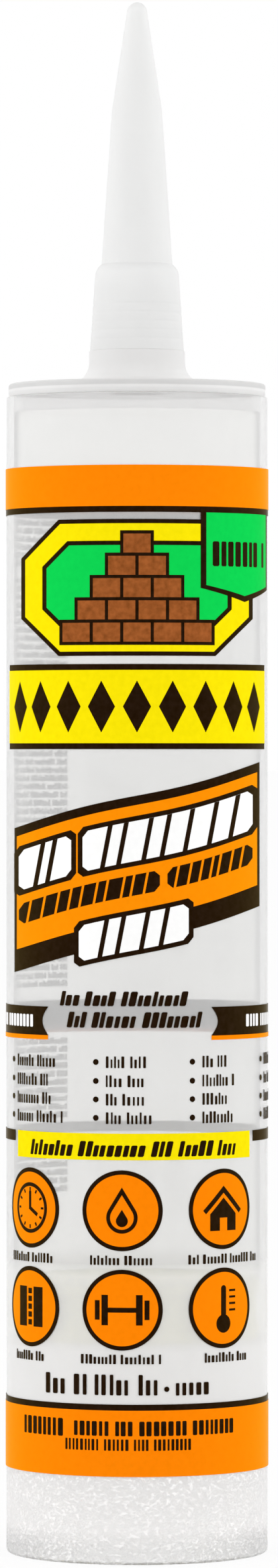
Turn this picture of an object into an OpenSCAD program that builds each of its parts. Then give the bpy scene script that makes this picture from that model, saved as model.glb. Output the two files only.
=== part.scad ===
// Caulk cartridge: clear adhesive in a translucent barrel with a moulded head, a screw-on
// nozzle, an inner seal, a cup piston and a printed clear film sleeve.
// Z is up along the tube's axis. The origin is the centre of the open rim that it stands on.
// The front of the label faces -Y, and azimuths are counted from there towards +X.

/* [Barrel] */
// Outside diameter of the barrel
barrel_od = 49; // [47:0.5:56]
// Wall thickness of the barrel
barrel_wall = 1.4; // [1.1:0.1:2]
// Length of the barrel from rim to top edge
barrel_len = 216.3; // [212:0.5:240]
// Radius of the barrel's outer end edges
barrel_round = 0.7; // [0.3:0.1:0.7]
// Lead-in chamfer inside the open rim
mouth_chamfer = 0.3; // [0.1:0.05:0.3]

/* [Head] */
// How far the flange's edge stands back from the barrel's outside
flange_inset = 0.4; // [0.2:0.1:1]
// Thickness of the flange above the barrel's edge
flange_t = 2.5; // [2:0.1:4]
// Radius of the flange's top edge
flange_round = 0.5; // [0.2:0.1:0.8]
// Height of the seam groove under the flange
seam_h = 0.5; // [0.3:0.1:0.8]
// Depth of the seam groove under the flange
seam_depth = 0.3; // [0.2:0.1:0.6]
// Length of the spigot inside the barrel
spigot_len = 3; // [2:0.5:6]
// Wall thickness of the spigot
spigot_wall = 1.6; // [1.2:0.1:2.5]
// Diameter of the boss that the nozzle seats on
boss_d = 18; // [17.5:0.5:22]
// Height of the boss above the flange
boss_h = 6.2; // [5:0.2:8]
// Radius of the flare where the boss meets the flange
boss_flare = 4.2; // [2:0.2:4.6]
// Outside diameter of the outlet neck
neck_d = 13.8; // [12.6:0.1:14]
// Height of the neck above the boss
neck_h = 11.4; // [8:0.2:12]
// Bore of the neck
neck_bore = 9.6; // [7:0.2:10]
// Chamfer at the neck's top edge
neck_chamfer = 0.6; // [0.2:0.1:0.9]

/* [Inner seal] */
// Thickness of the seal on the neck
seal_t = 0.2; // [0.1:0.05:0.4]
// How far the seal's edge stands back from the neck's chamfer
seal_inset = 0.2; // [0.1:0.05:0.5]

/* [Nozzle] */
// Running clearance between the neck and the nozzle's socket
neck_clearance = 0.1; // [0.06:0.02:0.2]
// Outside diameter of the collar's lower end
collar_d = 17.6; // [17:0.1:17.8]
// Outside diameter of the collar's upper end
collar_top_d = 15.8; // [15.4:0.1:16.2]
// Height of the collar up to its shoulder
collar_h = 13.9; // [13:0.1:16]
// Radius of the shoulder's curve
shoulder_r = 3; // [2.5:0.1:3.4]
// Gap above the seal inside the socket
socket_gap = 0.5; // [0.3:0.1:1]
// Diameter of the spout's lower cone at its foot
spout_d = 13.3; // [12.6:0.1:13.8]
// Diameter of the spout where its taper changes
waist_d = 9.44; // [8.8:0.1:10]
// Height of the taper's change above the boss
waist_h = 45; // [40:1:50]
// Radius of the round tip
tip_r = 1.9; // [1.7:0.1:2.2]
// Height of the whole nozzle
nozzle_h = 65.5; // [62:0.5:75]
// Wall thickness of the spout
spout_wall = 1.1; // [0.8:0.1:1.3]

/* [Piston] */
// Height of the piston's foot above the rim at rest
piston_z = 40.5; // [30:0.5:60]
// Height of the piston
piston_h = 11; // [10:0.5:16]
// Running clearance between the sealing lips and the barrel
piston_clearance = 0.1; // [0.06:0.02:0.2]
// Height of each sealing lip
lip_h = 2; // [1.5:0.1:2.5]
// How far the skirt stands back from the lips
skirt_inset = 0.7; // [0.4:0.1:1]
// Wall thickness of the skirt at its open end
skirt_wall = 1.2; // [1:0.1:1.6]
// Extra thickness of the skirt beside the ribs
skirt_step = 0.6; // [0.4:0.1:1]
// Depth of the seat for the gun's pusher disc
seat_depth = 5.4; // [4:0.2:6]
// Thickness of the crown
crown_t = 1.6; // [1.2:0.1:2.2]
// Chamfer at the crown's edge
crown_chamfer = 0.5; // [0.3:0.1:0.9]
// Number of ribs under the crown
rib_count = 6; // [4:1:8]
// Thickness of a rib
rib_t = 1.2; // [0.8:0.1:1.6]
// Radius of the hub where the ribs meet
hub_r = 3.2; // [2.5:0.1:5]

/* [Label] */
// Height of the film's lower edge above the rim
label_bottom = 16.3; // [10:0.5:18]
// Height of the film
label_h = 186.5; // [186:0.5:192]
// Thickness of the film
film_t = 0.08; // [0.05:0.01:0.12]
// Thickness of one pass of ink
ink_t = 0.05; // [0.04:0.01:0.08]

/* [Bands] */
// Height of the orange band at the film's upper edge
top_band_h = 7.6; // [6:0.2:9]
// Height of the orange band at the film's lower edge
low_band_h = 12.2; // [9:0.2:13]
// Height of a dark line beside a band
keyline = 1.1; // [0.8:0.1:1.3]
// Gap between the banner's highest corner and the line under the yellow band
yellow_gap = 2.4; // [0.5:0.1:4]
// Height of the yellow band
yellow_h = 13.5; // [12:0.1:14]
// Reach of the yellow band to each side of the front, in degrees
yellow_reach = 75; // [70:1:80]
// Number of lozenges on the yellow band
lozenge_count = 9; // [5:2:9]
// Step between lozenges, in degrees
lozenge_step = 15.5; // [15:0.5:16]
// Width of a lozenge
lozenge_w = 5.2; // [4:0.1:5.6]
// Height of a lozenge
lozenge_h = 9.6; // [7:0.1:10.4]

/* [Panel] */
// Gap between the yellow band's upper line and the panel
panel_gap = 1.5; // [0.5:0.1:3]
// Height of the panel
panel_h = 25.2; // [23:0.2:28]
// Gap between the panel and the line under the top band
top_gap = 1.3; // [0.5:0.1:3]
// Width of the panel seen from the front
panel_w = 43; // [41:0.5:44]
// Cut of the panel's corners
panel_cut = 7; // [4:0.5:9]
// Width of the panel's yellow border
panel_border = 3.2; // [2.4:0.2:3.6]
// Width of the panel's dark lines
panel_line = 0.8; // [0.6:0.1:1]
// Courses in the stack of bricks
brick_courses = 5; // [3:1:5]
// Length of a brick
brick_l = 5; // [4:0.1:5.4]
// Height of a brick
brick_h = 3.5; // [2.8:0.1:3.6]
// Joint between bricks
brick_joint = 0.6; // [0.4:0.1:0.8]
// Height of the stack's foot above the panel's foot
brick_low = 2.6; // [2:0.2:3]

/* [Tab] */
// Azimuth of the green tab's middle, in degrees
tab_az = 54; // [50:1:58]
// Width of the green tab
tab_w = 19; // [16:0.5:20]
// Length of the green tab's sides below the top band
tab_side = 13.4; // [11:0.2:14]
// Drop of the green tab's point below its sides
tab_point = 1.9; // [1:0.1:3]
// Width of the tab's dark edge
tab_line = 1.1; // [0.8:0.1:1.4]

/* [Banner] */
// Gap between the ribbons and the banner's lowest corner
banner_gap = 6.1; // [3.5:0.1:9]
// Width of the banner seen from the front
banner_w = 45.6; // [44:0.2:46]
// Height of the banner
banner_h = 26.8; // [25:0.2:27]
// Rise of the banner for each unit of width
banner_slope = 0.27; // [0.2:0.01:0.3]
// Swing of the banner's slight S curve
banner_swing = 0.6; // [0.2:0.1:0.8]
// Height of the banner's upper dark line
banner_top_line = 1.7; // [1.2:0.1:2]
// Height of the banner's lower dark band
banner_low_band = 4.1; // [3:0.1:4.4]
// Width of the banner's dark side lines
banner_side_line = 0.5; // [0.3:0.1:0.8]
// Width of the dark edge round the white blocks
block_line = 0.9; // [0.6:0.1:1.1]
// Height of the two white blocks
block_h = 7.4; // [6:0.2:7.8]
// Height of the dark bars under the white blocks
bar_h = 3.8; // [3:0.1:4.2]
// Height of the lower white block
low_block_h = 6.6; // [5:0.2:7]

/* [Ribbons] */
// Height left for the lists between the tag and the ribbons
list_h = 17.1; // [14:0.1:20]
// Height of the side ribbons
ribbon_h = 5.3; // [4:0.1:6]
// Height of the orange line under a ribbon
ribbon_line = 0.8; // [0.5:0.1:1]
// Reach of the ribbons and bars round each side of the tube, in degrees, where 180 is the back
ribbon_reach = 180; // [100:1:180]
// Inner end of the left ribbon, in degrees from the front
ribbon_left = 42; // [38:1:46]
// Inner end of the right ribbon, in degrees from the front
ribbon_right = 34; // [30:1:40]

/* [Tag] */
// Gap between the upper row of discs and the yellow tag
tag_lift = 1.85; // [0.5:0.05:4]
// Height of the yellow tag
tag_h = 4.9; // [4:0.1:5.2]
// Reach of the tag to the left of the front, in degrees
tag_left = 64; // [60:1:66]
// Reach of the tag to the right of the front, in degrees
tag_right = 58; // [54:1:60]
// Gap between the tag and the dark bars beside it, in degrees
tag_gap = 3; // [2:0.5:5]
// Height of the dark bars beside the tag
side_bar_h = 2; // [1.4:0.1:2.6]

/* [Icons] */
// Gap between the line over the low band and the lower row of discs
icon_gap = 9.95; // [7:0.05:12]
// Gap between the two rows of discs
icon_row_gap = 3.4; // [2.5:0.1:5]
// Azimuth of the middle column, in degrees
icon_az = -6.5; // [-9:0.5:-4]
// Step between columns, in degrees
icon_step = 47; // [44:0.5:48]
// Outside diameter of a disc
icon_d = 14.9; // [13:0.1:15.4]
// Width of a disc's dark ring
icon_line = 0.8; // [0.6:0.1:1.1]

/* [Hidden] */
$fn = 96;
EPS = 0.01;
OVER = 1;
CURVE_STEPS = 12;
FRONT = -90;

barrel_r = barrel_od / 2;
bore_r = barrel_r - barrel_wall;
flange_r = barrel_r - flange_inset;
flange_top = barrel_len + flange_t;
boss_top = flange_top + boss_h;
boss_r = boss_d / 2;
neck_r = neck_d / 2;
neck_top = boss_top + neck_h;
seal_r = neck_r - neck_chamfer - seal_inset;

collar_r = collar_d / 2;
collar_top_r = collar_top_d / 2;
socket_r = neck_r + neck_clearance;
socket_top = neck_h + seal_t + socket_gap;
spout_r = spout_d / 2;
waist_r = waist_d / 2;
shoulder_end = acos((spout_r - collar_top_r + shoulder_r) / shoulder_r);
shoulder_top = collar_h + shoulder_r * sin(shoulder_end);
socket_cone_top = socket_top + 1;
tip_z = nozzle_h - tip_r;
tip_start = atan2(waist_h - tip_z, waist_r) + acos(tip_r / norm([waist_r, tip_z - waist_h]));

piston_top = piston_z + piston_h;
lip_r = bore_r - piston_clearance;
skirt_r = lip_r - skirt_inset;
seat_r = skirt_r - skirt_wall;
rib_r = seat_r - skirt_step;

gel_top = barrel_len - spigot_len;

label_top = label_bottom + label_h;
film_r = barrel_r + film_t;
black_r = film_r + ink_t;
ink_r = black_r + ink_t;
tab_half = tab_w / 2;

icon_low = low_band_h + keyline + icon_gap + icon_d / 2;
icon_rise = icon_d + icon_row_gap;
tag_low = icon_low + icon_rise + icon_d / 2 + tag_lift;
side_bar_low = tag_low + tag_h - side_bar_h;
ribbon_low = tag_low + tag_h + list_h + ribbon_line;
banner_rise = banner_slope * banner_w / 2;
banner_mid = ribbon_low + ribbon_h + banner_gap + banner_rise + banner_h / 2;
yellow_low = banner_mid + banner_h / 2 + banner_rise + yellow_gap + keyline;
yellow_top = yellow_low + yellow_h;
panel_low = yellow_top + keyline + panel_gap;
top_band_low = panel_low + panel_h + top_gap + keyline;
art_h = top_band_low + top_band_h;
icon_r = icon_d / 2 * label_h / art_h;
icon_ring_r = icon_r - icon_line;

block_left = -banner_w / 2 + block_line;
block_right = banner_w / 2 - block_line - banner_side_line;
headline_low = 1.4;
bar_low = -4.9;
low_block_low = -15;
headline_splits = [[block_left, -12.1], [-10, block_right]];
bar_splits = [[block_left, 4.2], [5.6, block_right]];
low_block_split = [-10.7, 9.5];
block_cut = 1;

function arc_points(cx, cy, r, from, to) =
    [for (i = [0:CURVE_STEPS]) let(a = from + (to - from) * i / CURVE_STEPS)
        [cx + r * cos(a), cy + r * sin(a)]];

// Place on the film of a height in the artwork, which fits the film's height whatever that is
function up(h) = h * label_h / art_h;

// A point of the artwork, from its place across and its height above the film's lower edge
function art(x, h) = [x, label_bottom + up(h)];

// A point of the banner, from its place across and its height above the banner's middle line
function on_banner(x, h) =
    art(x, banner_mid + banner_slope * x - banner_swing * sin(360 * x / banner_w) + h);

// A revolved profile of radii and heights, lifted to a height
module lathe(points, lift = 0)
    translate([0, 0, lift]) rotate_extrude() polygon(points);

module barrel()
    color([0.93, 0.93, 0.92, 0.6])
    lathe(concat(
        arc_points(barrel_r - barrel_round, barrel_round, barrel_round, -90, 0),
        arc_points(barrel_r - barrel_round, barrel_len - barrel_round, barrel_round, 0, 90),
        [[bore_r, barrel_len], [bore_r, mouth_chamfer], [bore_r + mouth_chamfer, 0]]));

// Flange, spigot, flared boss and outlet neck in one moulding
module head()
    color([0.94, 0.94, 0.93, 0.7])
    lathe(concat(
        [[neck_bore / 2, 0], [bore_r - spigot_wall, 0],
         [bore_r - spigot_wall, -spigot_len], [bore_r, -spigot_len], [bore_r, 0],
         [flange_r - seam_depth, 0], [flange_r - seam_depth, seam_h], [flange_r, seam_h]],
        arc_points(flange_r - flange_round, flange_t - flange_round, flange_round, 0, 90),
        arc_points(boss_r + boss_flare, flange_t + boss_flare, boss_flare, 270, 180),
        [[boss_r, flange_t + boss_h], [neck_r, flange_t + boss_h],
         [neck_r, flange_t + boss_h + neck_h - neck_chamfer],
         [neck_r - neck_chamfer, flange_t + boss_h + neck_h],
         [neck_bore / 2, flange_t + boss_h + neck_h]]),
        barrel_len);

module inner_seal()
    color([0.82, 0.83, 0.84])
    translate([0, 0, neck_top]) cylinder(r = seal_r, h = seal_t);

// Outer form of the nozzle, solid, with its foot at zero
module nozzle_form()
    lathe(concat(
        [[0, 0], [collar_r, 0]],
        arc_points(collar_top_r - shoulder_r, collar_h, shoulder_r, 0, shoulder_end),
        [[waist_r, waist_h]],
        arc_points(0, tip_z, tip_r, tip_start, 90)));

// Space inside the nozzle: the socket over the neck and the taper towards the tip
module nozzle_space()
    lathe([[0, -EPS], [socket_r, -EPS], [socket_r, socket_top],
           [spout_r - spout_wall, socket_cone_top], [waist_r - spout_wall, waist_h],
           [tip_r - spout_wall, tip_z], [0, tip_z]]);

module nozzle()
    color([0.92, 0.93, 0.92, 0.75])
    translate([0, 0, boss_top]) difference() {
        nozzle_form();
        nozzle_space();
    }

// Cup with a lip at each end of its skirt
module piston_cup()
    lathe([[0, piston_h - crown_t], [rib_r, piston_h - crown_t], [rib_r, seat_depth],
           [seat_r, seat_depth], [seat_r, 0], [lip_r, 0], [lip_r, lip_h],
           [skirt_r, lip_h + skirt_inset], [skirt_r, piston_h - lip_h - skirt_inset],
           [lip_r, piston_h - lip_h], [lip_r, piston_h - crown_chamfer],
           [lip_r - crown_chamfer, piston_h], [0, piston_h]]);

module piston_ribs()
    translate([0, 0, seat_depth]) {
        cylinder(r = hub_r, h = piston_h - crown_t - seat_depth + EPS);
        for (i = [0:rib_count - 1])
            rotate([0, 0, i * 360 / rib_count])
                translate([0, -rib_t / 2, 0])
                    cube([rib_r + skirt_step / 2, rib_t,
                          piston_h - crown_t - seat_depth + EPS]);
    }

module piston()
    color([0.95, 0.95, 0.93])
    translate([0, 0, piston_z]) {
        piston_cup();
        piston_ribs();
    }

module adhesive()
    color([0.88, 0.9, 0.88, 0.4])
    translate([0, 0, piston_top]) cylinder(r = bore_r, h = gel_top - piston_top);

module label_film()
    color([0.96, 0.96, 0.96, 0.35])
    lathe([[barrel_r, 0], [film_r, 0], [film_r, label_h], [barrel_r, label_h]], label_bottom);

// A stretch of ink round the film, between two heights of the artwork and two azimuths
module ink_band(inner, outer, low, high, from = -180, to = 180)
    rotate([0, 0, FRONT + from])
        rotate_extrude(angle = to - from)
            polygon([art(inner, low), art(outer, low), art(outer, high), art(inner, high)]);

// A stretch round the back from the right's inner end to the left's, open past the ribbons' reach
module back_band(inner, outer, low, high, left, right)
    difference() {
        ink_band(inner, outer, low, high, right, 360 - left);
        if (ribbon_reach < 180)
            ink_band(inner - OVER, outer + OVER, low - OVER, high + OVER,
                     ribbon_reach, 360 - ribbon_reach);
    }

// An outline of the artwork, pressed on the film from an azimuth, between two radii
module ink_shape(inner, outer, az = 0)
    intersection() {
        difference() {
            translate([0, 0, label_bottom]) cylinder(r = outer, h = label_h);
            cylinder(r = inner, h = label_top + OVER);
        }
        ink_prism(az) children();
    }

// The same outline as a prism that reaches out from the axis
module ink_prism(az = 0)
    rotate([0, 0, az]) rotate([90, 0, 0]) linear_extrude(barrel_od) children();

// Panel outline, moved in from its edge
module panel_shape(inset) {
    w = panel_w / 2 - inset;
    low = panel_low + inset;
    high = panel_low + panel_h - inset;
    cut = panel_cut - inset * (2 - sqrt(2));
    polygon([art(-w + cut, low), art(w - cut, low), art(w, low + cut), art(w, high - cut),
             art(w - cut, high), art(-w + cut, high), art(-w, high - cut), art(-w, low + cut)]);
}

// Pyramid of bricks, each grown by an edge
module brick_shape(edge = 0)
    for (row = [0:brick_courses - 1], i = [0:brick_courses - 1 - row])
        translate(art((i - (brick_courses - 1 - row) / 2) * (brick_l + brick_joint)
                      - brick_l / 2 - edge,
                      panel_low + brick_low + row * (brick_h + brick_joint) - edge))
            square([brick_l + 2 * edge, up(brick_h + 2 * edge)]);

// Tab that hangs from the top band's line, grown by an edge
module tab_shape(edge) {
    top = top_band_low - (edge > 0 ? 0 : keyline);
    side = top_band_low - keyline - tab_side - edge / 2;
    polygon([art(-tab_half - edge, top), art(-tab_half - edge, side),
             art(0, side - tab_point - edge / 2), art(tab_half + edge, side),
             art(tab_half + edge, top)]);
}

module lozenge_shape() {
    mid = yellow_low + yellow_h / 2;
    polygon([art(-lozenge_w / 2, mid), art(0, mid - lozenge_h / 2),
             art(lozenge_w / 2, mid), art(0, mid + lozenge_h / 2)]);
}

// Stretch of the banner between two places and two heights from its middle line
module banner_shape(from, to, low, high) {
    xs = [for (i = [0:CURVE_STEPS]) from + (to - from) * i / CURVE_STEPS];
    polygon(concat([for (x = xs) on_banner(x, low)],
                   [for (i = [CURVE_STEPS:-1:0]) on_banner(xs[i], high)]));
}

// Block with cut corners that follows the banner, grown by an edge
module block_shape(split, low, h, edge = 0) {
    x0 = split[0] - edge;
    x1 = split[1] + edge;
    z0 = low - edge;
    z1 = low + h + edge;
    polygon([on_banner(x0 + block_cut, z0), on_banner(x1 - block_cut, z0),
             on_banner(x1, z0 + block_cut), on_banner(x1, z1 - block_cut),
             on_banner(x1 - block_cut, z1), on_banner(x0 + block_cut, z1),
             on_banner(x0, z1 - block_cut), on_banner(x0, z0 + block_cut)]);
}

module white_blocks(edge = 0) {
    for (split = headline_splits) block_shape(split, headline_low, block_h, edge);
    block_shape(low_block_split, low_block_low, low_block_h, edge);
}

module icon_places()
    for (row = [0, 1], column = [-1, 0, 1])
        rotate([0, 0, icon_az + column * icon_step])
            translate([0, 0, label_bottom + up(icon_low + row * icon_rise)])
                children();

// A disc of ink at the front of the film
module icon_disc(inner, outer, r)
    intersection() {
        difference() {
            translate([0, 0, -r - OVER]) cylinder(r = outer, h = 2 * (r + OVER));
            translate([0, 0, -r - 2 * OVER]) cylinder(r = inner, h = 2 * r + 4 * OVER);
        }
        rotate([90, 0, 0]) cylinder(r = r, h = barrel_od);
    }

module print_black()
    color([0.17, 0.14, 0.09]) {
        ink_band(film_r, black_r, top_band_low - keyline, top_band_low);
        ink_band(film_r, black_r, low_band_h, low_band_h + keyline);
        ink_band(film_r, black_r, yellow_low - keyline, yellow_top + keyline,
                 -yellow_reach, yellow_reach);
        ink_shape(film_r, black_r) panel_shape(0);
        ink_shape(film_r, black_r, tab_az) tab_shape(tab_line);
        ink_shape(film_r, black_r) {
            banner_shape(-banner_w / 2, banner_w / 2, -banner_h / 2, banner_h / 2);
            block_shape(low_block_split, low_block_low, low_block_h, block_line);
        }
        back_band(film_r, black_r, ribbon_low, ribbon_low + ribbon_h,
                  ribbon_left, ribbon_right);
        back_band(film_r, black_r, side_bar_low, side_bar_low + side_bar_h,
                  tag_left + tag_gap, tag_right + tag_gap);
        icon_places() icon_disc(film_r, black_r, icon_r);
    }

module print_orange()
    color([0.98, 0.5, 0.1]) {
        ink_band(film_r, ink_r, top_band_low, art_h);
        ink_band(film_r, ink_r, 0, low_band_h);
        back_band(film_r, ink_r, ribbon_low - ribbon_line, ribbon_low,
                  ribbon_left, ribbon_right);
        ink_shape(black_r, ink_r) difference() {
            banner_shape(-banner_w / 2 + banner_side_line, banner_w / 2 - banner_side_line,
                         -banner_h / 2 + banner_low_band, banner_h / 2 - banner_top_line);
            white_blocks(block_line);
            for (split = bar_splits) block_shape(split, bar_low, bar_h);
        }
        icon_places() icon_disc(black_r, ink_r, icon_ring_r);
    }

module print_yellow()
    color([1, 0.94, 0.08]) {
        difference() {
            ink_band(black_r, ink_r, yellow_low, yellow_top, -yellow_reach, yellow_reach);
            for (i = [0:lozenge_count - 1])
                ink_prism((i - (lozenge_count - 1) / 2) * lozenge_step) lozenge_shape();
        }
        difference() {
            ink_shape(black_r, ink_r) difference() {
                panel_shape(panel_line);
                panel_shape(panel_line + panel_border);
                brick_shape(brick_joint);
            }
            ink_prism(tab_az) tab_shape(tab_line);
        }
        ink_band(film_r, ink_r, tag_low, tag_low + tag_h, -tag_left, tag_right);
    }

module print_green()
    color([0.05, 0.72, 0.36]) {
        difference() {
            ink_shape(black_r, ink_r) difference() {
                panel_shape(2 * panel_line + panel_border);
                brick_shape(brick_joint);
            }
            ink_prism(tab_az) tab_shape(tab_line);
        }
        ink_shape(black_r, ink_r, tab_az) tab_shape(0);
    }

module print_brown()
    color([0.6, 0.27, 0.1])
    ink_shape(black_r, ink_r) brick_shape();

module print_white()
    color([0.98, 0.98, 0.97])
    ink_shape(black_r, ink_r) white_blocks();

barrel();
head();
inner_seal();
nozzle();
piston();
adhesive();
label_film();
print_black();
print_orange();
print_yellow();
print_green();
print_brown();
print_white();
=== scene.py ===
import math
import random

import bmesh
import bpy
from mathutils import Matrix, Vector
from mathutils.geometry import delaunay_2d_cdt


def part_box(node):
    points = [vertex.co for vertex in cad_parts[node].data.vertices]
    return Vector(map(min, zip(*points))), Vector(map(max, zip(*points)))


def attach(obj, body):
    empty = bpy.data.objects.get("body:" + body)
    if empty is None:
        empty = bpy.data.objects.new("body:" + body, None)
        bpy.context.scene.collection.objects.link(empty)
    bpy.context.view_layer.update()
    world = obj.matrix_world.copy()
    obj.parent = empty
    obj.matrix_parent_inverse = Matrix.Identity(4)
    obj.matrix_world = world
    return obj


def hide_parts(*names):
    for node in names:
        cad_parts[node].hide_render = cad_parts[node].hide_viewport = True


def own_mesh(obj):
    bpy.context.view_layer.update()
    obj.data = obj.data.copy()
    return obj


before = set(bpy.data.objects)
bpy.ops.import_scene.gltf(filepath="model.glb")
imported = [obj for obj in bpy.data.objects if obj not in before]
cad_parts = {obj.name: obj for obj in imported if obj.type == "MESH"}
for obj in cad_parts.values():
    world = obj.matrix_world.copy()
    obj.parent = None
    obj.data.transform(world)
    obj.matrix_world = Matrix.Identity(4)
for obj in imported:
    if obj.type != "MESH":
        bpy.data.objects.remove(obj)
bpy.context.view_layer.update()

MM = 0.001
# Facets round a turned form, and degrees between the cuts that let a sheet of ink follow its curve
SEGMENTS = 240
COLUMN = 1.5


def corners(node):
    low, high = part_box(node)
    return low / MM, high / MM


# Sizes read from the frame
BARREL_R = round(corners("barrel")[1].x, 2)
BARREL_TOP = corners("barrel")[1].z
FILM_LOW = corners("label_film")[0].z
FILM_H = corners("label_film")[1].z - FILM_LOW
BOSS_TOP = corners("nozzle")[0].z
NECK_TOP = corners("inner_seal")[0].z
SEAL_TOP = corners("inner_seal")[1].z
SEAL_R = round(corners("inner_seal")[1].x, 2)
NOZZLE_H = corners("nozzle")[1].z - BOSS_TOP
PISTON_LOW = corners("piston")[0].z
PISTON_TOP = corners("piston")[1].z
GEL_TOP = corners("adhesive")[1].z
LIP_R = round(corners("piston")[1].x, 2)

# Sizes of the mouldings, as in the part's source
WALL = 1.4
BORE_R = BARREL_R - WALL
EDGE_ROUND = 0.7
MOUTH = 0.3
FLANGE_R = BARREL_R - 0.4
FLANGE_T = 2.5
FLANGE_ROUND = 0.5
SPIGOT_LEN = 3
SPIGOT_WALL = 1.6
BOSS_R = 9
BOSS_H = 6.2
BOSS_FLARE = 4.2
NECK_R = 6.9
NECK_BORE_R = 4.8
NECK_CHAMFER = 0.6
SOCKET_R = 7.0
COLLAR_R = 8.8
COLLAR_TOP_R = 7.9
COLLAR_H = 13.9
SOCKET_GAP = 0.5
SHOULDER_R = 3
SPOUT_R = 6.65
WAIST_R = 4.72
WAIST_H = 45
TIP_R = 1.9
SPOUT_WALL = 1.1
LIP_H = 2
SKIRT_IN = 0.7
SKIRT_WALL = 1.2
SKIRT_STEP = 0.6
SEAT_DEPTH = 5.4
CROWN = 1.6
CROWN_CUT = 0.5
RIBS = 6
RIB_T = 1.2
HUB_R = 3.2
FILM_T = 0.08

# Edges that differ from the part's source: the barrel's top is rounded less and the groove at the
# flange's foot is shallower, and the edges at the collar's foot and in the mouldings are eased
TOP_ROUND = 0.2
GROOVE = 0.06
GROOVE_H = 0.5
SEAM_ROUND = 0.1
EASE = 0.3
LIP_ROUND = 0.2
GEL_ROUND = 0.15

# Thread on the neck and in the socket, and the rings that it leaves on the collar
THREAD_PITCH = 3.1
THREAD_ROW = 0.2
THREAD_RISE = 0.8
THREAD_RUN = 0.9
THREAD_RUN_OUT = 1.2
NECK_THREAD_DEPTH = 0.5
SOCKET_THREAD_DEPTH = 0.32
RING_LOW = 1.3
RING_HIGH = 9.5
RING_PITCH = 1.63
RING_DEPTH = 0.06
RING_SHARPNESS = 5

# Radii of the print's layers. The small steps keep two surfaces from lying in one place.
FILM_R = BARREL_R + FILM_T
STEP = 0.004
BLACK_R = (FILM_R + STEP, FILM_R + 0.05)
COLOUR_R = (FILM_R + 0.05 + STEP, FILM_R + 0.1)
OVER_R = (COLOUR_R[1] + STEP, COLOUR_R[1] + 0.02)
TOP_R = (OVER_R[1] + STEP, OVER_R[1] + 0.02)
LAST_R = (TOP_R[1] + STEP, TOP_R[1] + 0.02)


# Meshes

def mesh_object(name, verts, faces, sharp=40):
    mesh = bpy.data.meshes.new(name)
    mesh.from_pydata([(x * MM, y * MM, z * MM) for x, y, z in verts], [], faces)
    bm = bmesh.new()
    bm.from_mesh(mesh)
    bmesh.ops.recalc_face_normals(bm, faces=bm.faces)
    bm.to_mesh(mesh)
    bm.free()
    mesh.shade_smooth()
    mesh.set_sharp_from_angle(angle=math.radians(sharp))
    obj = bpy.data.objects.new(name, mesh)
    bpy.context.scene.collection.objects.link(obj)
    return obj


def arc(cx, cz, r, start, end, steps=8):
    angles = [math.radians(start + (end - start) * i / steps) for i in range(steps + 1)]
    return [(cx + r * math.cos(a), cz + r * math.sin(a)) for a in angles]


def line(start, end, steps):
    return [(start[0] + (end[0] - start[0]) * i / steps, start[1] + (end[1] - start[1]) * i / steps)
            for i in range(1, steps)]


def lathe_mesh(profile, warp=None):
    """Vertices and faces of a profile turned about the axis. A point on the axis is a pole."""
    verts, faces, rings = [], [], []
    for r, z in profile:
        if r < 1e-6:
            rings.append([len(verts)])
            verts.append((0, 0, z))
            continue
        rings.append(range(len(verts), len(verts) + SEGMENTS))
        for k in range(SEGMENTS):
            a = 2 * math.pi * k / SEGMENTS
            rr = r + (warp(r, z, a) if warp else 0)
            verts.append((rr * math.cos(a), rr * math.sin(a), z))
    count = len(rings)
    closed = len(rings[0]) > 1 and len(rings[-1]) > 1
    for i in range(count if closed else count - 1):
        a, b = rings[i], rings[(i + 1) % count]
        for k in range(SEGMENTS):
            n = (k + 1) % SEGMENTS
            if len(a) == 1:
                faces.append((a[0], b[n], b[k]))
            elif len(b) == 1:
                faces.append((a[k], a[n], b[0]))
            else:
                faces.append((a[k], a[n], b[n], b[k]))
    return verts, faces


def lathe(name, profile, warp=None):
    return mesh_object(name, *lathe_mesh(profile, warp))


def dress(obj, body, slot, material, *nodes):
    obj.data.materials.append(material)
    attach(obj, body)
    if nodes:
        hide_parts(*nodes)
    return obj


# Ink: loops are in arc length round the film and height above the film's lower edge

LOOP_STEP = 0.7


def unroll(points, az=0.0):
    """Loop drawn as seen from the front, turned to an azimuth, as arc length and height."""
    out = []
    for (x0, h0), (x1, h1) in zip(points, points[1:] + points[:1]):
        steps = max(1, math.ceil(math.hypot(x1 - x0, h1 - h0) / LOOP_STEP))
        for i in range(steps):
            x = x0 + (x1 - x0) * i / steps
            angle = math.radians(az) + math.asin(max(-1, min(1, x / FILM_R)))
            out.append((FILM_R * angle, h0 + (h1 - h0) * i / steps))
    return out


def arc_mm(degrees):
    return FILM_R * math.radians(degrees)


def circle(r, dx=0.0, dy=0.0, steps=48):
    turns = [2 * math.pi * i / steps for i in range(steps)]
    return [(dx + r * math.cos(a), dy + r * math.sin(a)) for a in turns]


def band(low, high, start=-180.0, end=180.0):
    """Loop between two heights and two azimuths."""
    a, b = arc_mm(start), arc_mm(end)
    return [(a, low), (b, low), (b, high), (a, high)]


def inside(point, loops):
    x, y = point
    odd = False
    for loop in loops:
        for (x0, y0), (x1, y1) in zip(loop, loop[1:] + loop[:1]):
            if (y0 > y) != (y1 > y) and x < x0 + (y - y0) * (x1 - x0) / (y1 - y0):
                odd = not odd
    return odd


def fill(loops):
    """Triangles inside the loops by the even-odd rule."""
    points, edges = [], []
    for loop in loops:
        base = len(points)
        points += [Vector(p) for p in loop]
        edges += [(base + i, base + (i + 1) % len(loop)) for i in range(len(loop))]
    verts, _, faces, *_ = delaunay_2d_cdt(points, edges, [], 0, 1e-6)
    kept = []
    for face in faces:
        middle = sum((verts[i] for i in face), Vector((0, 0))) / len(face)
        if inside(middle, loops):
            kept.append(face)
    return verts, kept


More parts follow.
